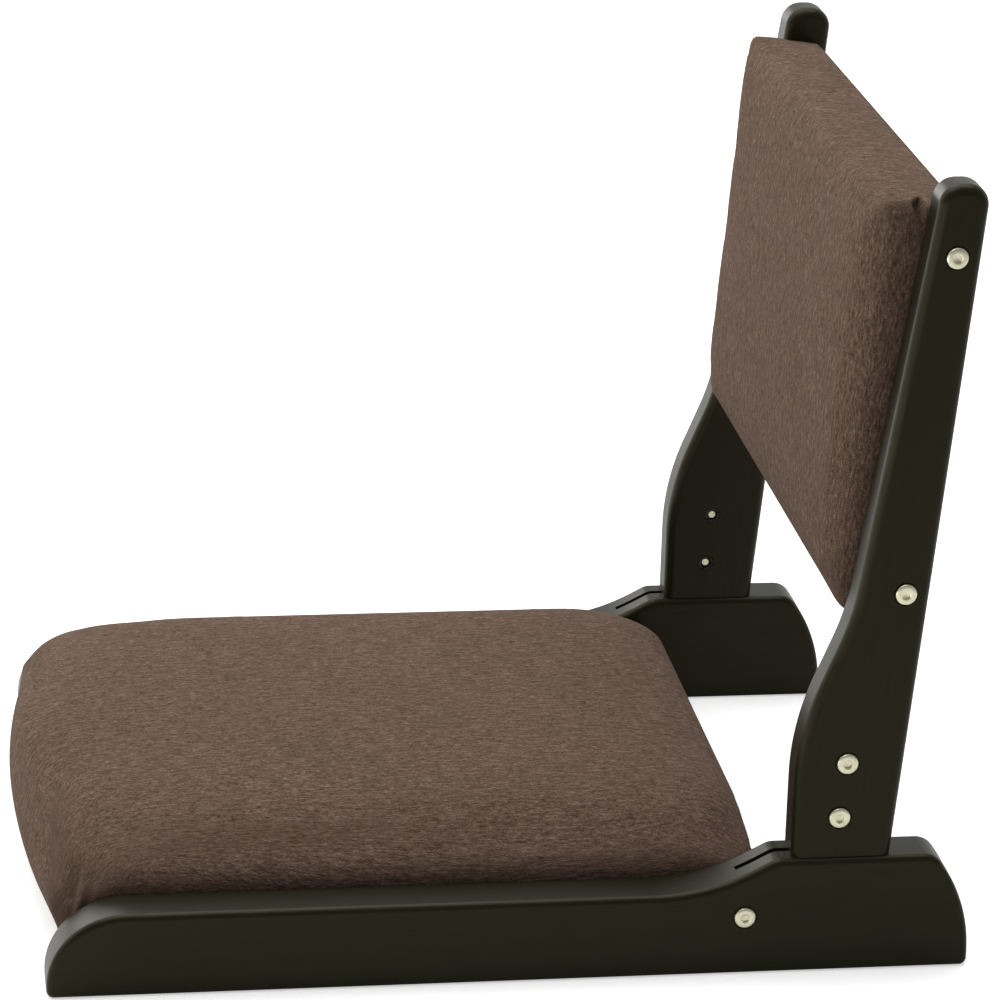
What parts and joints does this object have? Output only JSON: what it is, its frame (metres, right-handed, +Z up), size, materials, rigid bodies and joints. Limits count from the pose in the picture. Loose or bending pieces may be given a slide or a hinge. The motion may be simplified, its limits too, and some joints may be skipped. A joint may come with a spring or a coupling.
{
  "type": "folding floor chair",
  "caption": "Low wooden folding floor chair in the Japanese style: padded seat between two floor rails, padded back between uprights that folds forward over it",
  "frame": {"origin": "bottom centre of the bounding box, on the floor, midway between the rails and midway between the seat's front and the rails' rear ends", "axes": "X is the width, with the sitter's left at +X; -Y is the sitter's front, so the back pad stands at +Y; Z is up"},
  "size_m": [0.428, 0.516, 0.4435],
  "materials": {
    "lacquered_wood": "satin_lacquer",
    "raw_wood": "sawn",
    "dowel_wood": "turned",
    "plywood": "sanded",
    "foam": "foam",
    "cover_cloth": "woven_heather",
    "lining_cloth": "non_woven",
    "zinc_steel": "zinc_plated",
    "nickel_steel": "satin_nickel",
    "black_steel": "black_oxide",
    "nylon": "natural",
    "insert_brass": "machined"
  },
  "bodies": {
    "seat_frame": {"left_rail": "lacquered_wood", "right_rail": "lacquered_wood", "front_cross_bar": "raw_wood", "rear_cross_bar": "raw_wood", "cross_bar_dowels": "dowel_wood", "seat_board": "plywood", "seat_foam": "foam", "seat_cover": "cover_cloth", "seat_lining": "lining_cloth", "seat_screws": "zinc_steel", "seat_staples": "zinc_steel", "left_hinge_bolt": "nickel_steel", "right_hinge_bolt": "nickel_steel", "left_hinge_nut": "black_steel", "right_hinge_nut": "black_steel", "left_hinge_washers": "nylon", "right_hinge_washers": "nylon"},
    "backrest": {"left_upright": "lacquered_wood", "right_upright": "lacquered_wood", "left_hinge_plate": "black_steel", "right_hinge_plate": "black_steel", "left_plate_bolts": "nickel_steel", "right_plate_bolts": "nickel_steel", "left_plate_nuts": "black_steel", "right_plate_nuts": "black_steel", "back_left_stile": "raw_wood", "back_right_stile": "raw_wood", "back_top_bar": "raw_wood", "back_bottom_bar": "raw_wood", "back_plywood": "plywood", "back_foam": "foam", "back_cover": "cover_cloth", "back_rear_panel": "cover_cloth", "back_staples": "zinc_steel", "left_back_bolts": "nickel_steel", "right_back_bolts": "nickel_steel", "back_inserts": "insert_brass"}
  },
  "joints": [
    {"name": "back_fold", "type": "hinge", "parent": "seat_frame", "child": "backrest", "pos_m": [0, 0.1321, 0.034], "axis": [1, 0, 0], "range_deg": [0, 87]}
  ]
}
